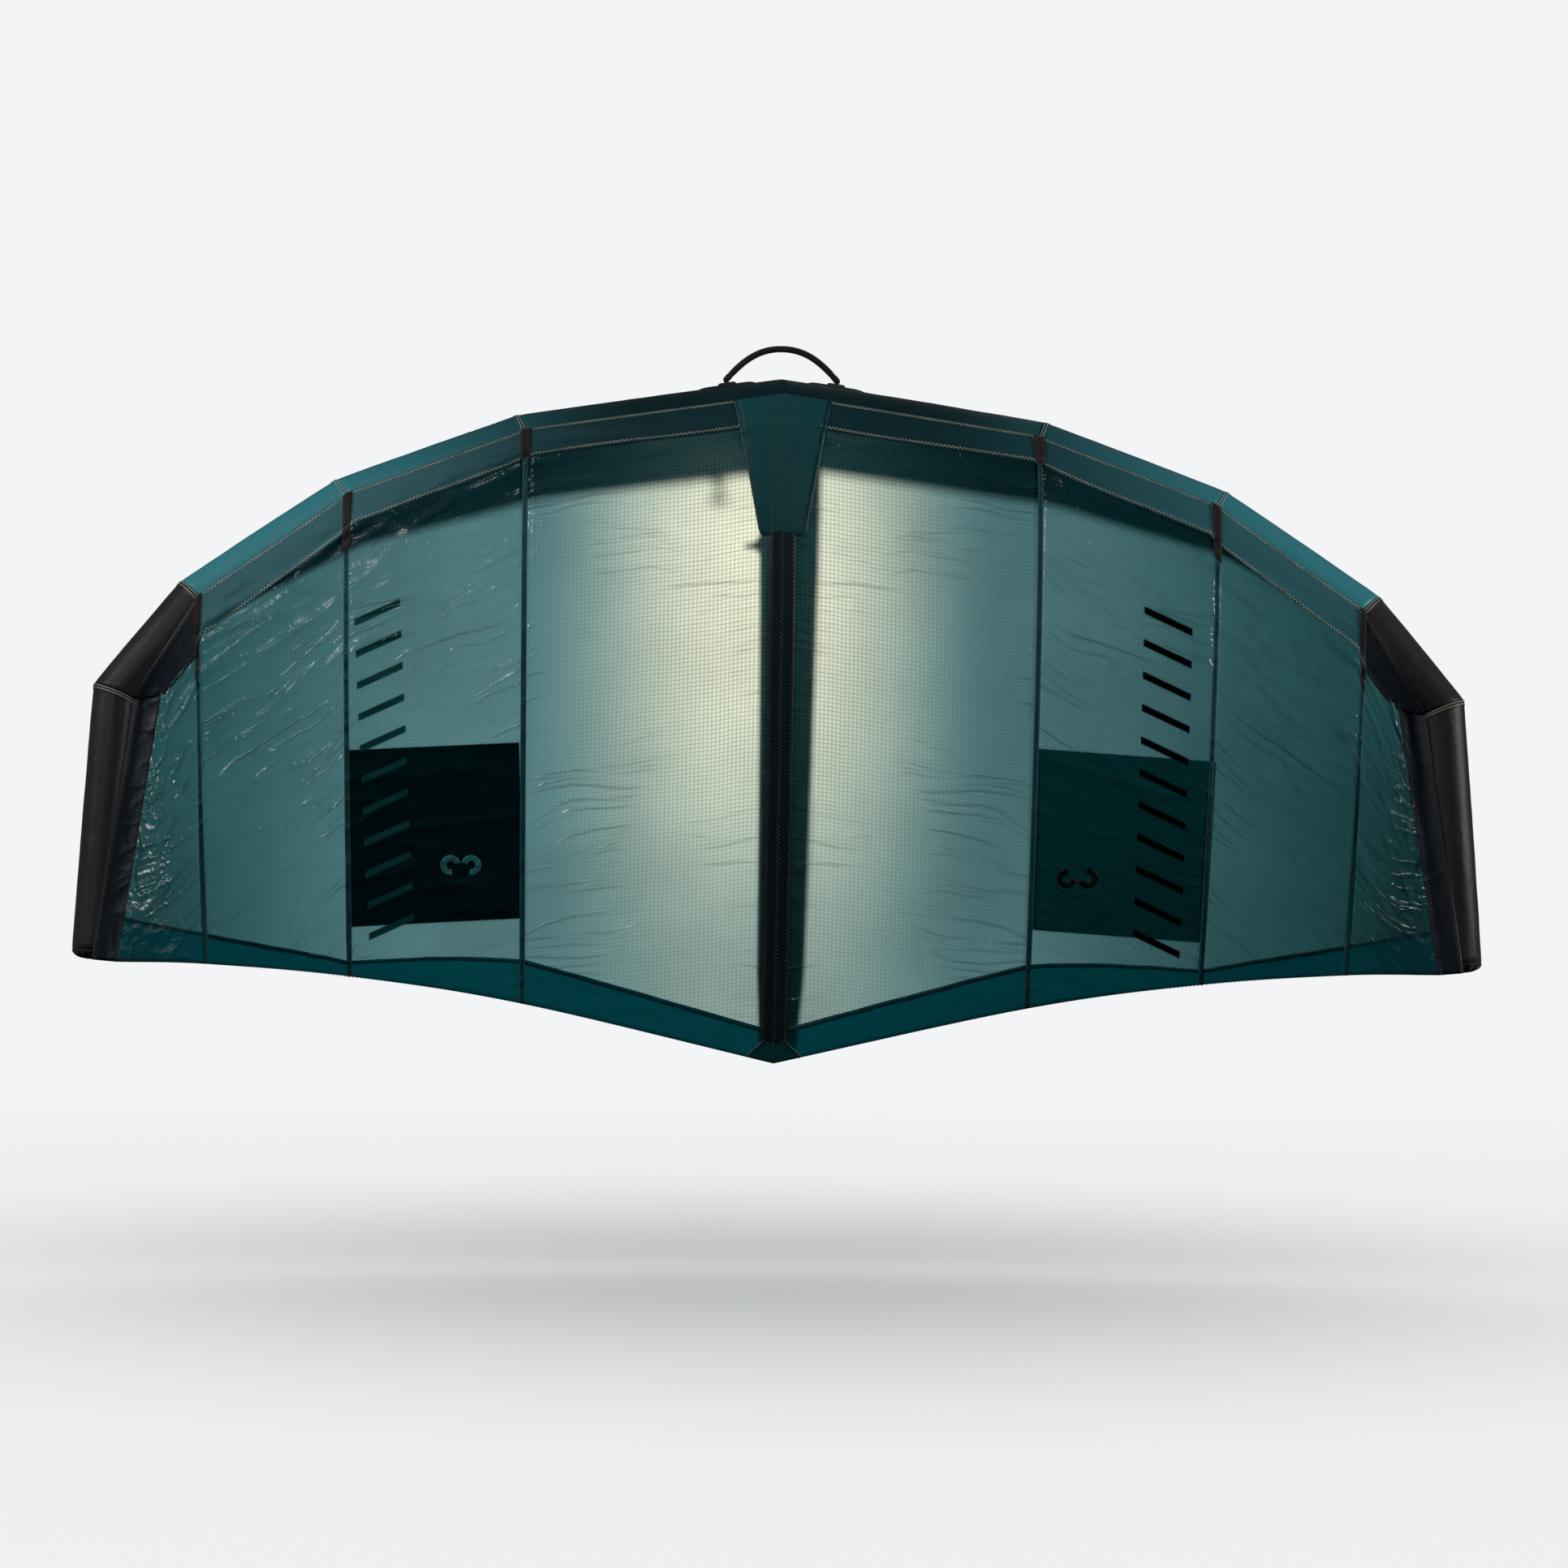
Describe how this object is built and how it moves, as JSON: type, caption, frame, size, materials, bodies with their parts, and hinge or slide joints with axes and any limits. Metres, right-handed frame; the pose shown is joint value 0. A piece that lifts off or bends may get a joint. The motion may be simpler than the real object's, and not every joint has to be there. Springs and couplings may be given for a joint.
{
  "type": "inflatable wingfoil wing",
  "caption": "Handheld inflatable wing with a bent tubular leading edge, a centre strut, a cambered cloth canopy, a front handle loop and padded strut handles.",
  "frame": {"origin": "inside top of the front handle's loop, where a hook holds the wing, on the centre plane", "axes": "+X along the span to the right as seen from the canopy's top side, +Y to the underside with the strut and handles, +Z towards the leading edge; the wing hangs with its leading edge up"},
  "size_m": [2.6998, 0.4331, 1.4162],
  "materials": {
    "canopy_teal": "satin ripstop",
    "edge_teal": "satin ripstop",
    "sleeve_teal": "matte woven",
    "sleeve_black": "matte woven",
    "strip_navy": "satin ripstop",
    "webbing_black": "woven webbing",
    "bladder_film": "clear film",
    "moulded_black": "moulded",
    "foam_black": "closed-cell foam",
    "hose_clear": "clear flexible hose"
  },
  "bodies": {
    "wing": {"leading_edge_panel_left_1": "sleeve_teal", "leading_edge_panel_left_2": "sleeve_teal", "leading_edge_panel_left_3": "sleeve_teal", "leading_edge_panel_left_4": "sleeve_black", "leading_edge_panel_left_5": "sleeve_black", "leading_edge_panel_right_1": "sleeve_teal", "leading_edge_panel_right_2": "sleeve_teal", "leading_edge_panel_right_3": "sleeve_teal", "leading_edge_panel_right_4": "sleeve_black", "leading_edge_panel_right_5": "sleeve_black", "tip_cap_left": "sleeve_black", "tip_cap_right": "sleeve_black", "leading_edge_bladder": "bladder_film", "leading_edge_strip_left": "edge_teal", "leading_edge_strip_right": "edge_teal", "tip_strip_left": "strip_navy", "tip_strip_right": "strip_navy", "load_tab_left_1": "webbing_black", "load_tab_left_2": "webbing_black", "load_tab_left_3": "webbing_black", "load_tab_right_1": "webbing_black", "load_tab_right_2": "webbing_black", "load_tab_right_3": "webbing_black", "canopy_panel_left_1": "canopy_teal", "canopy_panel_left_2": "canopy_teal", "canopy_panel_left_3": "canopy_teal", "canopy_panel_left_4": "canopy_teal", "canopy_panel_right_1": "canopy_teal", "canopy_panel_right_2": "canopy_teal", "canopy_panel_right_3": "canopy_teal", "canopy_panel_right_4": "canopy_teal", "trailing_edge_band_left": "edge_teal", "trailing_edge_band_right": "edge_teal", "seam_tape_left_1": "edge_teal", "seam_tape_left_2": "edge_teal", "seam_tape_left_3": "edge_teal", "seam_tape_right_1": "edge_teal", "seam_tape_right_2": "edge_teal", "seam_tape_right_3": "edge_teal", "nose_patch": "edge_teal", "centre_tape": "edge_teal", "tail_patch": "edge_teal", "strut_sleeve": "sleeve_teal", "strut_bladder": "bladder_film", "strut_tail_cap": "sleeve_black", "front_handle_patch_left": "webbing_black", "front_handle_patch_right": "webbing_black", "fore_handle_anchor": "webbing_black", "aft_handle_anchor": "webbing_black", "valve_body": "moulded_black", "leading_edge_spigot": "moulded_black", "strut_spigot": "moulded_black", "transfer_hose": "hose_clear", "leash_loop": "webbing_black"},
    "front_handle": {"front_handle_loop": "webbing_black"},
    "fore_grip": {"fore_handle": "foam_black"},
    "aft_grip": {"aft_handle": "foam_black"},
    "plunger": {"valve_plunger": "moulded_black"},
    "cap": {"valve_cap": "moulded_black"},
    "clip": {"hose_clip": "moulded_black"}
  },
  "joints": [
    {"name": "front_handle_swing", "type": "hinge", "parent": "wing", "child": "front_handle", "pos_m": [0, -0.00221, -0.05602], "axis": [1, 0, 0], "range_deg": [-20, 50], "stiffness_Nm_per_rad": 0.6},
    {"name": "fore_handle_swing", "type": "hinge", "parent": "wing", "child": "fore_grip", "pos_m": [0, -0.03465, -0.42744], "axis": [0, 0.0199, -0.9998], "range_deg": [-45, 45], "stiffness_Nm_per_rad": 0.8},
    {"name": "aft_handle_swing", "type": "hinge", "parent": "wing", "child": "aft_grip", "pos_m": [0, -0.01386, -0.80007], "axis": [0, 0.1671, -0.9859], "range_deg": [-45, 45], "stiffness_Nm_per_rad": 0.8},
    {"name": "valve_plunger_press", "type": "slide", "parent": "wing", "child": "plunger", "axis": [-0.0692, -0.9859, 0.1525], "range_m": [0, 0.004], "stiffness_N_per_m": 400},
    {"name": "valve_cap_flip", "type": "hinge", "parent": "wing", "child": "cap", "pos_m": [0.27086, 0.0711, -0.19606], "axis": [-0.158, -0.1401, -0.9775], "range_deg": [0, 150]},
    {"name": "hose_clip_slide", "type": "slide", "parent": "wing", "child": "clip", "axis": [0.129, 0.1703, -0.9769], "range_m": [0, 0.01]}
  ]
}
